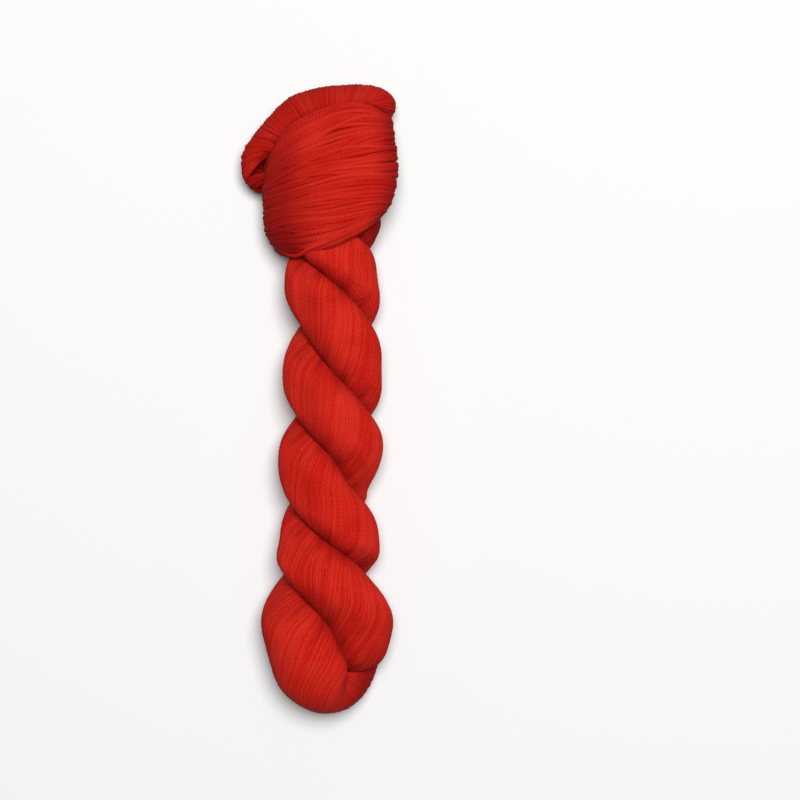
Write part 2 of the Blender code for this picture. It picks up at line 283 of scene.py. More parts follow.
def section_length(section):
    """The way round each ring's section, in mm."""
    out, across = section_lines(section, 0.0)
    return np.hypot(np.diff(out, axis=1), np.diff(across, axis=1)).sum(axis=1)


def lay_on_ply(ply, shares, heights, inset):
    """Points on a ply, at shares round its section and heights over it per strand and ring."""
    out, across = section_lines(ply.section, inset)
    strands, rings = shares.shape
    spots = np.empty((strands, rings, 2))
    facing = np.empty((strands, rings, 2))
    for ring in range(rings):
        line = np.stack((out[ring], across[ring]), -1)
        gaps = np.linalg.norm(np.diff(line, axis=0), axis=1)
        mark = np.concatenate(([0.0], np.cumsum(gaps))) / gaps.sum()
        slope = np.gradient(line, axis=0)
        slope[0] = slope[-1] = line[1] - line[-2]
        normal = unit(np.stack((slope[:, 1], -slope[:, 0]), -1))
        share = shares[:, ring] % 1.0
        for axis in (0, 1):
            spots[:, ring, axis] = np.interp(share, mark, line[:, axis])
            facing[:, ring, axis] = np.interp(share, mark, normal[:, axis])
    spots += facing * heights[..., None]
    reach = ply.section[:, 0]
    spots[..., 1] -= ply.lean * np.maximum(0, spots[..., 0] / reach) ** 2
    points = ply.middle + spots[..., :1] * ply.out + spots[..., 1:] * ply.across
    points = ply.hub + (points - ply.hub) * ply.width[:, None] + ply.push
    outwards = unit(facing[..., :1] * ply.out + facing[..., 1:] * ply.across)
    return points, outwards


def lines_on_ply(ply, count, twist=0.0):
    """Evenly spaced lines along a ply's surface."""
    shares = np.tile((np.arange(count) / count)[:, None], (1, len(ply.middle))) + twist
    return lay_on_ply(ply, shares, np.zeros_like(shares), 0.0)[0]


def ring_distance(ply):
    """How far along the strands each ring is, in mm."""
    points = lines_on_ply(ply, 8, ply.twist)
    steps = np.linalg.norm(np.diff(points, axis=1), axis=2).mean(axis=0)
    return np.concatenate(([0.0], np.cumsum(steps)))


FOLD_EDGE = np.array((  # x and y, down the edge of the ply that turns over the fold
    (2.0, -106.0), (6.7, -114.8), (9.0, -119.6), (10.5, -124.3), (11.0, -128.1),
    (10.9, -132.9), (10.0, -138.6), (8.1, -143.3), (5.2, -147.1), (1.4, -150.0),
))
FAN_TOP = (121.0, 127.0)  # it starts between these distances below the hank's middle
FAN_DROP = 0.4
FAN_DROP_ACROSS = (-0.8, 5.0)  # from the edge
FAN_DROP_UP = (8.0, 18.0)
FAN_ACROSS = (-0.8, 2.5)
FAN_UP = (2.0, 6.0)
# painted shade on the fan: a little, more for each mm from the edge, and more low down between the FAN_LOW
# heights
FAN_PAINTED_SHADE = 0.06
FAN_PAINTED_SHADE_ACROSS = 0.065  # for each mm from the edge
FAN_PAINTED_SHADE_LOW = 0.45
FAN_LOW = (6.0, 24.0)
FAN_PAINTED_SHADE_MOST = 0.9


def sink_fan(points):
    """The fold's right part lies lower than the edge of the ply that turns over it.

    Returns the points, how far each is on that part, and the painted shade there.
    """
    x, y, z = np.moveaxis(points, -1, 0)
    edge = np.interp(-y, -FOLD_EDGE[:, 1], FOLD_EDGE[:, 0])
    below = smoothstep(-y, *FAN_TOP)
    low_painted_shade = FAN_PAINTED_SHADE_LOW * (1 - smoothstep(z, *FAN_LOW))
    depth = np.clip(FAN_PAINTED_SHADE + FAN_PAINTED_SHADE_ACROSS * (x - edge) + low_painted_shade, 0, FAN_PAINTED_SHADE_MOST)
    drop = FAN_DROP * smoothstep(x - edge, *FAN_DROP_ACROSS) * below * smoothstep(z, *FAN_DROP_UP)
    points[..., 2] = z - drop
    return points, smoothstep(x - edge, *FAN_ACROSS) * below * smoothstep(z, *FAN_UP), depth


JOINT_RINGS = 3.0
JOINT_PASSES = 5


def ease_joint(points, ring):
    """Strands go over smoothly from the twisted part into the fold."""
    away = (np.arange(1, points.shape[1] - 1) - ring) / JOINT_RINGS
    share = np.exp(-(away**2))[None, :, None]
    for _ in range(JOINT_PASSES):
        between = (points[:, :-2] + points[:, 2:]) / 2
        points[:, 1:-1] += share * (between - points[:, 1:-1])
    return points


def rest_on_surface(points, radii):
    """No strand goes into the surface that the hank lies on."""
    points[..., 2] = np.maximum(points[..., 2], radii)
    return points


# ---------------- painted shade, from how far places are shut in

SHELTER_REACH = 26.0  # how far off a form still shuts a place in
SHELTER_START = 2.2  # how far over a strand the look begins
SHELTER_SIDE = 0.3  # what a look along the surface counts, beside 1.3 for one straight out
FLOOR_SHARE = 0.8  # how much the surface it lies on counts beside the hank's own form
LOOK_CIRCLES = ((1, 0.0), (6, 32.0), (8, 55.0), (9, 75.0))  # number of looks, and degrees from +Z
hank_form = BVHTree.FromPolygons(
    [vert.co.copy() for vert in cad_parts["hank"].data.vertices],
    [tuple(face.vertices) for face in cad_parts["hank"].data.polygons],
)


def looks_outwards():
    """Directions spread over the half sphere round +Z, closer together near it."""
    looks = []
    for count, lean in LOOK_CIRCLES:
        for step in range(count):
            turn = TURN * (step + lean / 90) / count
            aside, up = math.sin(math.radians(lean)), math.cos(math.radians(lean))
            looks.append((aside * math.cos(turn), aside * math.sin(turn), up))
    return np.array(looks)


LOOKS = looks_outwards()


def occlusion_shade(points, outwards, step=4):
    """How far places along strands are shut in by the hank's form and the surface under it, from 0 open to 1
    closed, to be painted as shade.
    """
    strands, length = points.shape[:2]
    marks = np.unique(np.append(np.arange(0, length, step), length - 1))
    starts = (points[:, marks] + outwards[:, marks] * SHELTER_START) * MM
    up = outwards[:, marks]
    side = unit(np.cross(up, np.where(np.abs(up[..., :1]) < 0.7, (1.0, 0.0, 0.0), (0.0, 1.0, 0.0))))
    other = np.cross(up, side)
    closed = np.zeros((strands, len(marks)))
    reach = SHELTER_REACH * MM
    for look in LOOKS:
        ways = look[0] * side + look[1] * other + look[2] * up
        weight = SHELTER_SIDE + look[2]
        for strand in range(strands):
            for mark in range(len(marks)):
                way = ways[strand, mark]
                hit = hank_form.ray_cast(Vector(starts[strand, mark]), Vector(way), reach)
                floor_away = -starts[strand, mark, 2] / way[2] if way[2] < -0.05 else 1.0
                if hit[0] is not None:
                    closed[strand, mark] += (1 - hit[3] / reach) * weight
                elif floor_away < reach:
                    closed[strand, mark] += FLOOR_SHARE * (1 - floor_away / reach) * weight
    closed /= (SHELTER_SIDE + LOOKS[:, 2]).sum()
    every = np.arange(length)
    return np.stack([np.interp(every, marks, row) for row in closed])


# ---------------- meshes

def added(name, data):
    """A new object in the scene."""
    thing = bpy.data.objects.new(name, data)
    bpy.context.scene.collection.objects.link(thing)
    return thing


class Bundle:
    """Strands that have the same number of points: (strand, point, xyz) in mm.

    Plied strands are shaped as plies laid round each other, and the others get their plies from the
    material. closed strands are rings. flat is their thickness outwards for their width, as soft
    strands are pressed flat by their neighbours. They get painted shade for how far they are shut in, plus any
    painted shade given.
    """

    def __init__(self, points, outwards, radii, closed, tones, flat=1.0, plied=False, added_painted_shade=0.0):
        self.points, self.outwards, self.radii, self.closed = points, outwards, radii, closed
        self.tones, self.flat, self.plied = tones, flat, plied
        self.columns = PLIED_COLUMNS if plied else COLUMNS
        self.painted_shade = np.clip(occlusion_shade(points, outwards) + added_painted_shade, 0, 1)


def tube_rings(bundle, run, lead):
    """Rings of corners along each strand, how far round it each is, and how near its crest."""
    points = bundle.points
    if bundle.closed:
        heading = np.roll(points, -1, axis=1) - np.roll(points, 1, axis=1)
    else:
        heading = np.gradient(points, axis=1)
    heading = unit(heading)
    up = square_to(bundle.outwards, heading)
    side = np.cross(heading, up)
    column = np.arange(bundle.columns)
    around = np.broadcast_to(column / bundle.columns, points.shape[:2] + (bundle.columns,))
    radii = bundle.radii[:, :, None]
    if bundle.plied:
        around = around - (run / lead)[:, :, None]
        per_ply = bundle.columns // PLIES
        radii = radii * np.where(column % per_ply == 0, PLY_VALLEY, PLY_RIDGE)[None, None]
    turn = TURN * around[..., None]
    spokes = bundle.flat * np.cos(turn) * up[:, :, None] + np.sin(turn) * side[:, :, None]
    crest = np.maximum(np.cos(turn[..., 0]), 0) ** 2
    return points[:, :, None] + radii[..., None] * spokes, around, np.broadcast_to(crest, around.shape)


def yarn_object(name, bundles, rng):
    """One mesh of all the strands, with a map along each, its tone with a painted highlight on its crest, and
    its painted shade.
    """
    verts, corners, starts, maps, tones, painted_shade = [], [], [], [], [], []
    vert_count = corner_count = 0
    for bundle in bundles:
        points, columns = bundle.points, bundle.columns
        strands, length = points.shape[:2]
        steps = np.linalg.norm(np.roll(points, -1, axis=1) - points, axis=2)
        run = np.concatenate((np.zeros((strands, 1)), np.cumsum(steps, axis=1)), axis=1)
        lead = np.full((strands, 1), YARN_LEAD)
        if bundle.closed:
            lead = run[:, -1:] / np.round(run[:, -1:] / YARN_LEAD)
        run = run + rng.uniform(0, 1, (strands, 1)) * lead
        rings, around, crest = tube_rings(bundle, run[:, :-1], lead)
        index = np.arange(strands * length * columns).reshape(strands, length, columns) + vert_count
        spans = length if bundle.closed else length - 1
        here = np.arange(spans)
        there = (here + 1) % length
        k = np.arange(columns)
        k2 = (k + 1) % columns
        near, far = index[:, here], index[:, there]
        quads = np.stack((near[:, :, k], near[:, :, k2], far[:, :, k2], far[:, :, k]), -1)
        u = around[:, here]
        u_there = u - ((run[:, here + 1] - run[:, here]) / lead)[:, :, None] if bundle.plied else u
        v = (run / lead * YARN_LEAD * MM)[:, :, None]
        v_here = np.broadcast_to(v[:, here], u.shape)
        v_there = np.broadcast_to(v[:, here + 1], u.shape)
        width = 1 / columns
        at_corners = ((u, v_here), (u + width, v_here), (u_there + width, v_there), (u_there, v_there))
        uv = np.stack([np.stack(pair, -1) for pair in at_corners], -2)
        verts.append(rings.reshape(-1, 3))
        corners.append(quads.reshape(-1))
        starts.append(np.arange(quads.size // 4) * 4 + corner_count)
        maps.append(uv.reshape(-1, 2))
        corner_count += quads.size
        if not bundle.closed:
            for end, order in ((0, k[::-1]), (length - 1, k)):
                caps = index[:, end][:, order]
                corners.append(caps.reshape(-1))
                starts.append(np.arange(strands) * columns + corner_count)
                cap_uv = np.stack((around[:, end][:, order], np.broadcast_to(v[:, end], caps.shape)), -1)
                maps.append(cap_uv.reshape(-1, 2))
                corner_count += caps.size
        # each strand's own tone, with a painted highlight along its crest
        tones.append((bundle.tones[:, None, None] + CREST_PAINTED_HIGHLIGHT * (crest - CREST_MEAN)).reshape(-1))
        # painted shade of each place, the same at every corner round it
        painted_shade.append(np.repeat(bundle.painted_shade.reshape(-1), columns))
        vert_count += strands * length * columns
    mesh = bpy.data.meshes.new(name)
    mesh.vertices.add(vert_count)
    mesh.vertices.foreach_set("co", (np.concatenate(verts) * MM).astype(np.float32).ravel())
    mesh.loops.add(corner_count)
    mesh.loops.foreach_set("vertex_index", np.concatenate(corners).astype(np.int32))
    starts = np.concatenate(starts).astype(np.int32)
    mesh.polygons.add(len(starts))
    mesh.polygons.foreach_set("loop_start", starts)
    mesh.update(calc_edges=True)
    along_yarn = mesh.uv_layers.new(name="along_yarn")
    along_yarn.data.foreach_set("uv", np.concatenate(maps).astype(np.float32).ravel())
    for label, values in (("strand_tone_and_crest_highlight", tones), ("yarn_painted_shade", painted_shade)):
        layer = mesh.attributes.new(label, "FLOAT", "POINT")
        layer.data.foreach_set("value", np.concatenate(values).astype(np.float32))
    mesh.shade_smooth()
    mesh.validate()
    return added(name, mesh)


# ---------------- plies

YARN = 1.0  # radius across, and thickness for width
YARN_FLAT = 0.6
PLY_STRANDS = 88
PLY_WANDERERS = 5  # strands that stray over the others
PLY_PERIMETER = 97.0  # about the way round one
# painted shade under the band's right end, and on a ply's side that faces the ply over it
NECK_PAINTED_SHADE = 0.9
UNDER_PLY_PAINTED_SHADE = 0.34
TO_OVER_PLY = np.array((-0.8, -0.6, 0.0))  # the way from a ply to the one that lies over it
STRAY_TOGETHER = 0.6 / PLY_PERIMETER  # how far strands stray, as shares of the way round a ply
STRAY_ALONE = 0.08 / PLY_PERIMETER
WANDERER_STRAY = 3.0 / PLY_PERIMETER


def ply_bundle(ply, shares, heights, radii, tones, joint):
    points, outwards = lay_on_ply(ply, shares, heights, YARN * YARN_FLAT)
    if joint:
        points = ease_joint(points, joint)
    return Bundle(rest_on_surface(points, radii), outwards, radii, False, tones, YARN_FLAT)


def ply_bundles(ply, rng, strands, sink=0.0, joint=None):
    """A ply's strands side by side, and over them a few that stray. sink lowers every second one."""
    distance = ring_distance(ply)
    base = (np.arange(strands) + rng.uniform(-0.12, 0.12, strands)) / strands
    drift = STRAY_TOGETHER * drift_together(rng, strands, distance, (45, 70, 110, 60), (4, 3, 2, 5))
    drift = drift + STRAY_ALONE * wander(rng, strands, distance, (26, 47, 90))
    shares = base[:, None] + ply.twist[None] + drift
    heights = 0.04 * wander(rng, strands, distance, (17, 33, 60)) + rng.uniform(-0.05, 0.05, (strands, 1))
    heights[::2] -= 0.03 + sink
    swell = rng.uniform(0.95, 1.05, (strands, 1)) * (1 + 0.03 * wander(rng, strands, distance, (9, 15)))
    near = ply_bundle(ply, shares, heights, YARN * swell, rng.uniform(0, 1, strands), joint)
    base = rng.uniform(0, 1, PLY_WANDERERS)
    drift = WANDERER_STRAY * wander(rng, PLY_WANDERERS, distance, (70, 120, 190))
    shares = base[:, None] + ply.twist[None] + drift
    heights = 0.1 + 0.1 * wander(rng, PLY_WANDERERS, distance, (30, 55)) - sink * 0.5
    radii = YARN * rng.uniform(0.75, 0.9, (PLY_WANDERERS, 1)) * np.ones((1, len(distance)))
    over = ply_bundle(ply, shares, heights, radii, rng.uniform(0.3, 1, PLY_WANDERERS), joint)
    return [near, over]


def with_painted_shade_under(bundles):
    """Painted shade on the strands under the band's right end, and where they face the ply over them."""
    for bundle in bundles:
        x, y, z = np.moveaxis(bundle.points, -1, 0)
        neck = NECK_PAINTED_SHADE * smoothstep(x, 20.0, 27.0) * smoothstep(y, 64.0, 76.0)
        facing = smoothstep(bundle.outwards @ TO_OVER_PLY, 0.0, 0.5)
        inside = smoothstep(x, -12.0, -3.0) * smoothstep(z, 20.0, 30.0) * smoothstep(y, -118.0, -100.0)
        bundle.painted_shade = np.clip(bundle.painted_shade + neck + UNDER_PLY_PAINTED_SHADE * facing * inside, 0, 1)
    return bundles


def foot_flank(points, up, down):
    """How far places are on the foot's flanks, where painted shade goes: under the heights up, and down from
    the middle.
    """
    _, y, z = np.moveaxis(points, -1, 0)
    return (1 - smoothstep(z, *up)) * smoothstep(-y, *down)


# painted shade on the foot's flanks
FRONT_FLANK = dict(up=(15.0, 36.0), down=(92.0, 120.0))
FRONT_FLANK_PAINTED_SHADE = 0.85


def front_ply():
    rng = np.random.default_rng(11)
    ply = Ply()
    add_rope(ply, half_turns=1)
    joint = len(ply.parts[0][0]) - 1
    add_fold(ply)
    ply.finish()
    bundles = with_painted_shade_under(ply_bundles(ply, rng, PLY_STRANDS, joint=joint))
    for bundle in bundles:
        bundle.points, on_fan, fan_painted_shade = sink_fan(bundle.points)
        # painted shade on the foot's flank, and on the fan the fan's own painted shade
        painted_shade = bundle.painted_shade + FRONT_FLANK_PAINTED_SHADE * foot_flank(bundle.points, **FRONT_FLANK)
        bundle.painted_shade = np.clip(painted_shade * (1 - on_fan) + fan_painted_shade * on_fan, 0, 1)
    return yarn_object("front_ply", bundles, rng)


BACK_PLY_SHORT = 0.4  # rows of ROPE by which it ends before the front ply
BACK_PLY_STRAIGHTEN = 0.7  # share of its strands' slant that is gone at its end
BACK_PLY_CLOSING = 10.5  # length over which its end closes
BACK_PLY_RINGS = 8  # of its closing end
BACK_PLY_LAST_TURN = 4 / 4.4  # share of a quarter turn that the closing end goes through
BACK_PLY_FULLNESS = 2.4  # of its end, 2 for an ellipse
WRAP_START = 11.0  # length before its end from which its strands wrap round and lie uneven
BACK_PLY_WRAP = 0.12
BACK_PLY_SINK = 1.5
# painted shade on the back ply's flank and on its end
BACK_FLANK = dict(up=(14.0, 31.0), down=(96.0, 116.0))
BACK_FLANK_PAINTED_SHADE = 0.65
BACK_END_PAINTED_SHADE = 0.32


def back_ply():
    rng = np.random.default_rng(12)
    ply = Ply()
    add_rope(ply, half_turns=0, rows_short=BACK_PLY_SHORT, straighten=BACK_PLY_STRAIGHTEN)
    ply.finish()
    steps = BACK_PLY_RINGS
    turn = math.pi / 2 * np.arange(1, steps + 1) / steps * BACK_PLY_LAST_TURN
    hubs = lines_on_ply(ply, 24).mean(axis=0)
    heading = unit(hubs[-1] - hubs[-2])
    for column in ("middle", "out", "across", "section", "lean", "twist"):
        values = getattr(ply, column)
        setattr(ply, column, np.concatenate((values, np.repeat(values[-1:], steps, axis=0))))
    ply.width = np.concatenate((ply.width, np.cos(turn) ** (1 / BACK_PLY_FULLNESS)))
    ply.hub = np.concatenate((ply.hub, np.repeat(hubs[-1:], steps, axis=0)))
    ply.push = np.concatenate((ply.push, heading * (BACK_PLY_CLOSING * np.sin(turn))[:, None]))
    distance = ring_distance(ply)
    end = distance[-1]
    ply.twist = ply.twist - BACK_PLY_WRAP * smoothstep(distance, end - WRAP_START, end)
    sink = BACK_PLY_SINK * smoothstep(distance, end - WRAP_START, end - 0.5 * WRAP_START)
    bundles = with_painted_shade_under(ply_bundles(ply, rng, PLY_STRANDS - 4, sink[None]))
    for bundle in bundles:
        # painted shade on its flank and its end
        flank = BACK_FLANK_PAINTED_SHADE * foot_flank(bundle.points, **BACK_FLANK)
        last = BACK_END_PAINTED_SHADE * smoothstep(-bundle.points[..., 1], 112.0, 120.0)
        bundle.painted_shade = np.clip(bundle.painted_shade + np.maximum(flank, last), 0, 1)
    return yarn_object("back_ply", bundles, rng)


# ---------------- band

BAND_YARN = 1.32
BAND_FLAT = 0.72
BAND_GAP = 2.15  # between the middles of neighbouring strands, where they are as wide as usual
BAND_STRANDS = 40
BAND_POINTS = 190  # of each strand
UNDER_STRANDS = 32  # of a plain layer that closes the gaps
UNDER_POINTS = 76
OVER_STRANDS = 6  # that stray over the others
LAST_COURSE = len(BAND) - 1.0
COURSE_WIDTH = 7.0  # in mm, for straying
COURSE_MARGIN = 0.15
# painted shade on the band's left and right flanks and under its upper lip
BAND_LEFT_PAINTED_SHADE = 0.85
BAND_RIGHT_PAINTED_SHADE = 0.8
BAND_LIP_PAINTED_SHADE = 0.15


def band_surface(course, turn, inset):
    """Points of the band at a course, counted in rows of BAND, and a turn round the neck."""
    columns = np.moveaxis(between_rows(BAND, course), -1, 0)
    left, left_y, middle_y, right, right_y, front, bow, lip, lift = columns
    across, up = np.cos(turn), np.sin(turn)
    lip = lip + inset
    half = (right - left) / 2 - lip
    x = half * np.sign(across) * np.abs(across) ** BAND_ROUNDNESS + BAND_LEAN * up
    share = x / half
    drop = ((left_y + right_y) / 2 - middle_y) * np.abs(share) ** np.where(share < 0, bow, 2.0)
    y = middle_y + (right_y - left_y) / 2 * share + drop + lift
    x = (left + right) / 2 + x
    z = (front + BAND_BACK) / 2 + ((front - BAND_BACK) / 2 - lip) * np.sign(up) * np.abs(up) ** BAND_ROUNDNESS
    return np.stack((x, y, z), -1)


def run_along(line):
    """How far along a line each of its points is."""
    return np.concatenate(([0.0], np.cumsum(np.linalg.norm(np.diff(line, axis=0), axis=1))))


def band_courses(count):
    """Courses evenly spaced over the front of the band, from its upper lip to its lower one."""
    course = np.linspace(0.0, LAST_COURSE, 200)
    run = run_along(band_surface(course, np.full(200, math.pi / 2), 0.0))
    return np.interp(np.linspace(0, run[-1], count), run, course)


def even_turns(count):
    """Turns that are evenly spaced round the band's middle course."""
    turn = np.linspace(0, TURN, 721)
    run = run_along(band_surface(np.full(721, LAST_COURSE / 2), turn, 0.0))
    return np.interp(np.arange(count) / count * run[-1], run, turn), run[-1]


def band_layer(
    rng, courses, heights, tones, yarn, inset, stray, lengths=(44, 60, 90), together=0.0, spread=False, **kind
):
    """Rings of yarn round the neck, one at each course.

    stray and together are how far, in mm, a strand strays alone and with its neighbours. Strands
    that are spread are as wide as the gap to the next one.
    """
    points = heights.shape[1]
    turns, length = even_turns(points)
    distance = np.arange(points) / points * length
    strands = len(courses)
    loop = np.append(distance, length)
    lines = wander(rng, strands, loop, lengths, closed=True)[:, :-1] * stray
    if together:
        shared = drift_together(rng, strands, loop, (60, 90, 175), (3, 2, 1.5), closed=True)
        lines = lines + shared[:, :-1] * together
    course = courses[:, None] + lines / COURSE_WIDTH
    course = np.clip(course, COURSE_MARGIN, LAST_COURSE - COURSE_MARGIN)
    turn = np.broadcast_to(turns, course.shape)
    here = band_surface(course, turn, inset)
    step = 0.02
    down = band_surface(course + step, turn, inset) - here
    on = band_surface(course, turn + step, inset) - here
    outwards = unit(np.cross(on, -down))
    flip = np.sign((outwards * (here - here.mean(axis=1, keepdims=True))).sum(-1).mean())
    outwards = outwards * flip
    places = here + outwards * heights[..., None]
    radii = yarn * rng.uniform(0.93, 1.07, (strands, 1)) * np.ones((1, points))
    if spread:
        gap = np.linalg.norm(down, axis=-1) / step * np.gradient(courses)[:, None]
        radii = radii * np.clip(gap / BAND_GAP, 0.85, 1.3)
    # painted shade: on the left and right flanks, at the upper lip, and more towards the lower lip
    left = smoothstep(-np.cos(turn), 0.35, 0.95) * smoothstep(course, 0.0, 4.0)
    left = BAND_LEFT_PAINTED_SHADE * left * (0.75 + 0.3 * smoothstep(course, 7.0, 12.0))
    right = BAND_RIGHT_PAINTED_SHADE * smoothstep(np.cos(turn), 0.35, 0.95)
    lip = BAND_LIP_PAINTED_SHADE * (1 - smoothstep(course, 1.5, 3.4))
    low_painted_shade = 0.08 + 0.22 * smoothstep(course, 6.0, 13.0)
    added_painted_shade = low_painted_shade + np.maximum(left, np.maximum(right, lip))
    return Bundle(rest_on_surface(places, radii), outwards, radii, True, tones, added_painted_shade=added_painted_shade, **kind)


def band_heights(rng, strands, points, lengths):
    """Slow waves outwards, about -1 to 1, along rings of the band."""
    _, length = even_turns(points)
    distance = np.append(np.arange(points) / points * length, length)
    return wander(rng, strands, distance, lengths, closed=True)[:, :-1]


SLACK_STRANDS = np.array((  # x, y and z along each, from left to right
    (
        (-24.6, 80.0, 12.0), (-22.6, 76.4, 17.2), (-19.0, 73.4, 21.2), (-14.6, 71.3, 25.4),
        (-10.2, 70.3, 29.0), (-6.4, 70.9, 32.6), (-2.6, 72.0, 34.6), (1.8, 73.4, 36.0), (7.0, 75.6, 37.2),
        (12.4, 78.2, 36.6),
    ),
    (
        (-23.4, 76.6, 12.0), (-20.8, 72.8, 17.6), (-17.2, 69.6, 21.2), (-13.8, 67.8, 24.2),
        (-10.4, 67.2, 27.2), (-7.4, 68.0, 30.8), (-4.6, 69.8, 33.6), (-1.0, 71.2, 35.2), (3.4, 72.8, 36.4),
        (8.4, 75.0, 36.0),
    ),
))
SLACK_POINTS = 44
SLACK_FLAT = 0.9
SLACK_UP = (-0.25, -0.35, 1.0)
# painted shade towards their left ends
SLACK_PAINTED_SHADE = 0.75


def slack_strands(rng, yarn):
    """The two lowest strands of the band, which hang slack across the neck."""
    path = along_path(SLACK_STRANDS, SLACK_POINTS)
    heading = unit(np.gradient(path, axis=1))
    outwards = square_to(np.broadcast_to(SLACK_UP, path.shape), heading)
    radii = yarn * np.ones(path.shape[:2])
    added_painted_shade = SLACK_PAINTED_SHADE * (1 - smoothstep(path[..., 0], -20.0, -2.0))
    tones = rng.uniform(0, 1, len(path))
    return Bundle(path, outwards, radii, False, tones, flat=SLACK_FLAT, plied=True, added_painted_shade=added_painted_shade)


def band():
    rng = np.random.default_rng(21)
    heights = 0.15 * band_heights(rng, UNDER_STRANDS, UNDER_POINTS, (40, 70))
    tones = rng.uniform(0, 0.5, UNDER_STRANDS)
    courses = band_courses(UNDER_STRANDS)
    bundles = [band_layer(rng, courses, heights, tones, yarn=1.35, inset=1.6, stray=0.3, flat=0.8)]
    kind = dict(inset=BAND_YARN * BAND_FLAT, flat=BAND_FLAT, plied=True)
    courses = band_courses(BAND_STRANDS) + rng.uniform(-0.05, 0.05, BAND_STRANDS)
    heights = 0.12 * band_heights(rng, BAND_STRANDS, BAND_POINTS, (35, 60))
    uneven = np.linspace(0.8, 1.7, BAND_STRANDS)[:, None]
    heights = heights + rng.uniform(-0.16, 0.16, (BAND_STRANDS, 1)) * uneven
    heights[-3:] += 0.6
    tones = rng.uniform(0, 1, BAND_STRANDS)
    bundles.append(
        band_layer(rng, courses, heights, tones, yarn=BAND_YARN, stray=0.38, together=0.9, spread=True, **kind)
    )
    courses = rng.uniform(3.0, 10.0, OVER_STRANDS)
    heights = 0.35 + 0.12 * band_heights(rng, OVER_STRANDS, BAND_POINTS, (50, 80))
    tones = rng.uniform(0.3, 1, OVER_STRANDS)
    bundles.append(
        band_layer(rng, courses, heights, tones, yarn=BAND_YARN * 0.8, stray=2.6, lengths=(90, 175), **kind)
    )
    bundles.append(slack_strands(rng, BAND_YARN * 0.88))
    return yarn_object("band", bundles, rng)


# ---------------- crown

CROWN_YARN = 1.12
CROWN_FLAT = 0.75
# painted shade over the whole crown, and a little more near its rim
CROWN_PAINTED_SHADE = 0.36
RIM_PAINTED_SHADE = 0.06
LAST_CROWN = len(CROWN) - 1
FOOT_SLIP = 0.1  # rows of CROWN by which a strand's feet stray
LOOSE_START = 8.0  # the row of CROWN from which its strands lie further apart
FRONT_END = 11.0  # the row of CROWN at which the front layers end, over a hollow


def along_path(path, count):
    """The same paths with a number of evenly spaced points, on smooth curves."""
    strands, length = path.shape[:2]
    even = np.empty((strands, count, 3))
    fine = np.linspace(0, length - 1, 8 * length)
    for strand in range(strands):
        line = between_rows(path[strand], fine)
        run = run_along(line)
        for axis in range(3):
            even[strand, :, axis] = np.interp(np.linspace(0, run[-1], count), run, line[:, axis])
    return even


def crown_layer(rng, places, depth, points, lower=0.0, added_painted_shade=CROWN_PAINTED_SHADE, plied=False):
    """Hairpins of the fan: out of the band in front, over the rim, and back in behind.

    places are rows of CROWN, and lower is how much further down the front feet go.
    """
    strands = len(places)
    loose = smoothstep(places, LOOSE_START - 1, LOOSE_START)
    rim = between_rows(CROWN, places)
    front = between_rows(CROWN, np.clip(places + rng.normal(0, FOOT_SLIP, strands), 0, LAST_CROWN))
    back = between_rows(CROWN, np.clip(places + rng.normal(0, FOOT_SLIP, strands), 0, LAST_CROWN))
    depth = depth + rng.uniform(-0.12, 0.12, strands) * (1 + 1.2 * loose)
    top = np.stack((rim[:, 0], rim[:, 1], np.full(strands, CROWN_MIDDLE)), -1)
    legs = []
    for side, foot_row, column in ((1, front, 2), (-1, back, 4)):
        foot = np.stack((foot_row[:, column], foot_row[:, column + 1], np.full(strands, CROWN_MIDDLE)), -1)
        foot[:, 1] -= lower if side > 0 else 0.0
        inwards = unit(foot - top)
        start = top + inwards * depth[:, None]
        turn = math.pi / 2 * np.arange(RIM_POINTS) / (RIM_POINTS - 1)
        thick = rim[:, 6] - depth
        bend = (CROWN_ROUND - depth)[:, None] * (1 - np.cos(turn))
        leg = start[:, None] + inwards[:, None] * bend[..., None]
        leg[..., 2] += side * thick[:, None] * np.sin(turn)
        end = foot + inwards * CROWN_ROOT
        end[:, 2] = leg[:, -1, 2] - (rim[:, 8] if side > 0 else -CROWN_BACK_RISE)
        share = np.linspace(0, 1, LEG_POINTS)[None, 1:, None]
        leg = np.concatenate((leg, leg[:, -1:] * (1 - share) + end[:, None] * share), axis=1)
        if side > 0:
            along = np.linalg.norm(leg[..., :2] - top[:, None, :2], axis=-1)
            along = along / np.linalg.norm(foot - top, axis=-1)[:, None]
            aside = np.stack((inwards[:, 1], -inwards[:, 0], np.zeros(strands)), -1)
            arc = np.sin(math.pi * np.clip(along, 0, 1)) * rim[:, 7][:, None]
            leg = leg - aside[:, None] * arc[..., None]
        legs.append(leg)
    path = along_path(np.concatenate((legs[0][:, ::-1], legs[1][:, 1:]), axis=1), points)
    distance = run_along(path.mean(axis=0))
    heading = unit(np.gradient(path, axis=1))
    outwards = square_to(unit(path - path.mean(axis=1, keepdims=True)), heading)
    sideways = np.cross(heading, outwards)
    path = path + sideways * (0.1 * wander(rng, strands, distance, (22, 36)))[..., None]
    path = path + outwards * (0.12 * wander(rng, strands, distance, (18, 30)))[..., None]
    radii = CROWN_YARN * rng.uniform(0.94, 1.08, (strands, 1)) * np.ones((1, points))
    radii = radii * (1 + 0.1 * loose)[:, None]
    # more painted shade near the rim
    rim_near = 1 - smoothstep(np.linalg.norm(path[..., :2] - top[:, None, :2], axis=-1), 0.0, 9.0)
    added_painted_shade = added_painted_shade + RIM_PAINTED_SHADE * rim_near
    tones = rng.uniform(0, 1, strands)
    path = rest_on_surface(path, radii)
    return Bundle(path, outwards, radii, False, tones, CROWN_FLAT, plied, added_painted_shade)


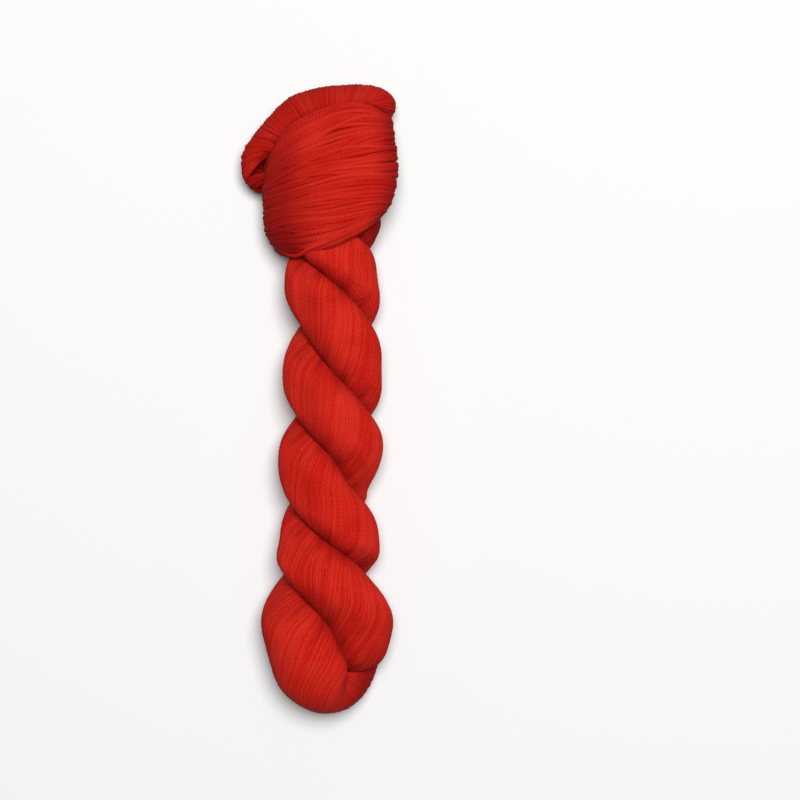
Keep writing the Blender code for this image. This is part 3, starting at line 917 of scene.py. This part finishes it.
# first and last are rows of CROWN.
CrownLayer = namedtuple("CrownLayer", "strands depth first last points kind")
CROWN_LAYERS = (
    CrownLayer(68, 0.0, 0.0, FRONT_END, 62, dict(plied=True)),
    CrownLayer(72, 0.35, 0.0, FRONT_END - 0.1, 26, {}),
    CrownLayer(46, 2.0, 0.0, FRONT_END - 0.3, 26, {}),
    # the last layer, past the front layers' end, gets more painted shade
    CrownLayer(9, 0.3, FRONT_END + 0.1, LAST_CROWN, 30, dict(lower=10.0, added_painted_shade=0.62)),
)


def crown():
    rng = np.random.default_rng(31)
    place = np.linspace(0, LAST_CROWN, 400)
    run = run_along(between_rows(CROWN, place)[:, :2])
    bundles = []
    for layer in CROWN_LAYERS:
        ends = np.interp((layer.first, layer.last), place, run)
        marks = np.linspace(*ends, layer.strands) + rng.uniform(-0.09, 0.09, layer.strands)
        places = np.interp(marks, run, place)
        loose = smoothstep(places, LOOSE_START - 1, LOOSE_START)
        depth = CROWN_YARN * CROWN_FLAT + layer.depth + 0.5 * loose * (layer.depth > 0)
        bundles.append(crown_layer(rng, places, depth, layer.points, **layer.kind))
    return yarn_object("crown", bundles, rng)


# ---------------- core

CORE_DEPTH = 1.6  # how far it lies inside the form
MERGED = 1e-6
Hollow = namedtuple("Hollow", "x y radius depth")
HOLLOW = Hollow(x=-28.6, y=109.6, radius=6.6, depth=11.0)  # under the crown's left end
HOLLOW_FROM = 4.0  # height


def core():
    """The hank's form, a little smaller, behind the gaps between strands."""
    mesh = bmesh.new()
    mesh.from_mesh(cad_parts["hank"].data)
    bmesh.ops.remove_doubles(mesh, verts=mesh.verts, dist=MERGED)
    mesh.normal_update()
    for vert in mesh.verts:
        vert.co -= vert.normal * CORE_DEPTH * MM
        away = math.hypot(vert.co.x / MM - HOLLOW.x, vert.co.y / MM - HOLLOW.y) / HOLLOW.radius
        if away < 1 and vert.co.z > HOLLOW_FROM * MM:
            vert.co.z = max(vert.co.z - HOLLOW.depth * (1 - away**2) * MM, 1.5 * CORE_DEPTH * MM)
        vert.co = sink_fan(np.array(vert.co)[None] / MM)[0][0] * MM
    data = bpy.data.meshes.new("core")
    mesh.to_mesh(data)
    mesh.free()
    data.shade_smooth()
    return added("core", data)


# ---------------- materials

def group(name, inputs, outputs):
    """A shader node group, with the node of what it is given and the node of its results."""
    tree = bpy.data.node_groups.new(name, "ShaderNodeTree")
    for label, kind, value in inputs:
        socket = tree.interface.new_socket(name=label, in_out="INPUT", socket_type=kind)
        socket.default_value = value
    for label, kind in outputs:
        tree.interface.new_socket(name=label, in_out="OUTPUT", socket_type=kind)
    return tree, tree.nodes.new("NodeGroupInput"), tree.nodes.new("NodeGroupOutput")


def maths(tree, operation, first, second=None, third=None):
    """The output of a math node, given numbers and outputs of other nodes."""
    node = tree.nodes.new("ShaderNodeMath")
    node.operation = operation
    for socket, value in zip(node.inputs, (first, second, third)):
        if value is None:
            continue
        if isinstance(value, (int, float)):
            socket.default_value = value
        else:
            tree.links.new(value, socket)
    return node.outputs[0]


def set_inputs(node, values):
    for label, value in values.items():
        node.inputs[label].default_value = value


def new_material(name):
    """A material, with its shader."""
    material = bpy.data.materials.new(name)
    material.use_nodes = True
    return material, material.node_tree.nodes["Principled BSDF"]


def plying_group():
    """The plies of one yarn, laid round each other: their height and the grooves between them."""
    tree, given, result = group(
        "yarn_plying",
        (
            ("Along", "NodeSocketVector", (0, 0, 0)),
            ("Plies", "NodeSocketFloat", float(PLIES)),
            ("Plies Per Metre", "NodeSocketFloat", PLIES / (YARN_LEAD * MM)),
        ),
        (("Height", "NodeSocketFloat"), ("Groove", "NodeSocketFloat")),
    )
    split = tree.nodes.new("ShaderNodeSeparateXYZ")
    tree.links.new(given.outputs["Along"], split.inputs[0])
    around = maths(tree, "MULTIPLY", split.outputs["X"], given.outputs["Plies"])
    along = maths(tree, "MULTIPLY", split.outputs["Y"], given.outputs["Plies Per Metre"])
    phase = maths(tree, "ADD", around, along)
    wave = maths(tree, "SINE", maths(tree, "MULTIPLY", phase, math.pi))
    height = maths(tree, "POWER", maths(tree, "ABSOLUTE", wave), 0.6)
    tree.links.new(height, result.inputs["Height"])
    tree.links.new(maths(tree, "SUBTRACT", 1.0, height), result.inputs["Groove"])
    return tree


def fibre_group():
    """The fine grain of wool's own fibres."""
    tree, given, result = group(
        "wool_fibres",
        (("Place", "NodeSocketVector", (0, 0, 0)), ("Scale", "NodeSocketFloat", 1500.0)),
        (("Height", "NodeSocketFloat"), ("Roughness", "NodeSocketFloat")),
    )
    noise = tree.nodes.new("ShaderNodeTexNoise")
    set_inputs(noise, {"Detail": 3.0})
    tree.links.new(given.outputs["Place"], noise.inputs["Vector"])
    tree.links.new(given.outputs["Scale"], noise.inputs["Scale"])
    tree.links.new(noise.outputs["Fac"], result.inputs["Height"])
    rough = maths(tree, "MULTIPLY_ADD", noise.outputs["Fac"], 0.2, 0.72)
    tree.links.new(rough, result.inputs["Roughness"])
    return tree


def colour_mix(tree, factor, first, second):
    """The first colour where the factor is 0, and the second where it is 1."""
    mix = tree.nodes.new("ShaderNodeMix")
    mix.data_type = "RGBA"
    sockets = [socket for socket in mix.inputs if socket.type == "RGBA"]
    for source, socket in ((factor, mix.inputs["Factor"]), (first, sockets[0]), (second, sockets[1])):
        tree.links.new(source, socket)
    return [socket for socket in mix.outputs if socket.type == "RGBA"][0]


def noise_at(tree, place, scale, detail):
    noise = tree.nodes.new("ShaderNodeTexNoise")
    set_inputs(noise, {"Scale": scale, "Detail": detail})
    tree.links.new(place, noise.inputs["Vector"])
    return noise.outputs["Fac"]


def dye_and_painted_shade_group():
    """Dyed colour, darker or paler from strand to strand and in patches and fluff, with the painted crest
    highlight given in the tone, and painted shade in the grooves between plies and where places are shut in.
    """
    tree, given, result = group(
        "dye_and_painted_shade",
        (
            ("Place", "NodeSocketVector", (0, 0, 0)),
            ("Tone And Crest Highlight", "NodeSocketFloat", 0.5),
            ("Groove", "NodeSocketFloat", 0.0),
            ("Depth", "NodeSocketFloat", 0.0),
            ("Deep", "NodeSocketColor", (0.40, 0.0052, 0.0014, 1)),
            ("Pale", "NodeSocketColor", (0.55, 0.0242, 0.0142, 1)),
            ("Shade", "NodeSocketColor", (0.2, 0.0024, 0.0027, 1)),
        ),
        (("Colour", "NodeSocketColor"),),
    )
    place, groove = given.outputs["Place"], given.outputs["Groove"]
    patches = maths(tree, "MULTIPLY_ADD", noise_at(tree, place, scale=60.0, detail=2.0), 0.9, -0.2)
    fluff = maths(tree, "MULTIPLY_ADD", noise_at(tree, place, scale=700.0, detail=1.0), 0.5, -0.2)
    # painted shade: the grooves between the yarn's plies are made darker
    uneven = maths(tree, "MULTIPLY_ADD", groove, -0.3, maths(tree, "ADD", patches, fluff))
    blend = maths(tree, "MULTIPLY_ADD", given.outputs["Tone And Crest Highlight"], 0.5, uneven)
    dyed_and_groove_shaded = colour_mix(tree, blend, given.outputs["Deep"], given.outputs["Pale"])
    # painted shade: towards Shade, by the painted shade given and a little in the plies' grooves
    depth = maths(tree, "MULTIPLY_ADD", given.outputs["Depth"], 0.9, maths(tree, "MULTIPLY", groove, 0.12))
    tree.links.new(colour_mix(tree, depth, dyed_and_groove_shaded, given.outputs["Shade"]), result.inputs["Colour"])
    return tree


def placed(tree, node_group):
    node = tree.nodes.new("ShaderNodeGroup")
    node.node_tree = node_group
    return node


def linked_attribute(tree, name, socket):
    attribute = tree.nodes.new("ShaderNodeAttribute")
    attribute.attribute_name = name
    tree.links.new(attribute.outputs["Fac"], socket)


def yarn_material(name, groups, plied=True, deep=None, pale=None):
    """Wool, with the plies of the yarn in it, its tone with a painted crest highlight and its painted shade,
    or plain for what lies inside, with darker colours given as painted shade.
    """
    material, shader = new_material(name)
    tree = material.node_tree
    place = tree.nodes.new("ShaderNodeTexCoord").outputs["Object"]
    dye_and_painted_shade, fibres = placed(tree, groups["dye_and_painted_shade"]), placed(tree, groups["fibres"])
    tree.links.new(place, dye_and_painted_shade.inputs["Place"])
    tree.links.new(place, fibres.inputs["Place"])
    if deep:
        set_inputs(dye_and_painted_shade, {"Deep": deep, "Pale": pale})
    bump = tree.nodes.new("ShaderNodeBump")
    set_inputs(bump, {"Distance": 0.15 * MM, "Strength": 0.6})
    if plied:
        mapping = tree.nodes.new("ShaderNodeUVMap")
        mapping.uv_map = "along_yarn"
        plying = placed(tree, groups["plying"])
        tree.links.new(mapping.outputs["UV"], plying.inputs["Along"])
        tree.links.new(plying.outputs["Groove"], dye_and_painted_shade.inputs["Groove"])
        linked_attribute(tree, "strand_tone_and_crest_highlight", dye_and_painted_shade.inputs["Tone And Crest Highlight"])
        linked_attribute(tree, "yarn_painted_shade", dye_and_painted_shade.inputs["Depth"])
        height = maths(tree, "MULTIPLY_ADD", fibres.outputs["Height"], 0.35, plying.outputs["Height"])
    else:
        height = fibres.outputs["Height"]
    tree.links.new(height, bump.inputs["Height"])
    tree.links.new(bump.outputs["Normal"], shader.inputs["Normal"])
    tree.links.new(dye_and_painted_shade.outputs["Colour"], shader.inputs["Base Color"])
    tree.links.new(fibres.outputs["Roughness"], shader.inputs["Roughness"])
    set_inputs(shader, {"Metallic": 0.0, "Specular IOR Level": 0.04})
    set_inputs(shader, {"Sheen Weight": 0.02, "Sheen Roughness": 0.45, "Sheen Tint": (1.0, 0.45, 0.4, 1.0)})
    return material


def floor_material():
    material, shader = new_material("pale_floor")
    set_inputs(shader, {"Base Color": (0.72, 0.72, 0.72, 1.0), "Roughness": 0.9, "Specular IOR Level": 0.1})
    return material


# ---------------- building

groups = {"plying": plying_group(), "fibres": fibre_group(), "dye_and_painted_shade": dye_and_painted_shade_group()}
red_yarn = yarn_material("red_plied_wool", groups)
# what lies inside is coloured darker than the yarn, as painted shade
inner_yarn_in_painted_shade = yarn_material("inner_wool_in_painted_shade", groups, False, (0.2, 0.0026, 0.0016, 1), (0.26, 0.004, 0.002, 1))
pieces = [(make(), red_yarn) for make in (front_ply, back_ply, band, crown)] + [(core(), inner_yarn_in_painted_shade)]

for piece, material in pieces:
    piece.data.materials.clear()
    piece.data.materials.append(material)
    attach(piece, "root")
    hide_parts("hank")

# ---------------- floor, lights and camera

bpy.ops.object.select_all(action="DESELECT")
bpy.ops.mesh.primitive_plane_add(size=6.0, location=(0, 0, 0))
floor = bpy.context.object
floor.name = "floor"
floor.data.materials.append(floor_material())

world = bpy.data.worlds.new("soft_studio")
bpy.context.scene.world = world
world.use_nodes = True
set_inputs(world.node_tree.nodes["Background"], {"Color": (1.0, 1.0, 1.0, 1.0), "Strength": 0.1})

light = bpy.data.lights.new("key_light", "AREA")
light.shape = "DISK"
light.size = 1.5
light.energy = 92.0
lamp = added("key_light", light)
lamp.location = (0.26, 0.54, 2.55)
lamp.rotation_euler = (-lamp.location).to_track_quat("-Z", "Y").to_euler()

camera_data = bpy.data.cameras.new("camera")
camera_data.lens = 100
camera_data.sensor_width = 36
camera = added("camera", camera_data)
camera.location = (0.0385, -0.0007, 1.0725)
bpy.context.scene.camera = camera
bpy.context.scene.view_settings.view_transform = "Standard"
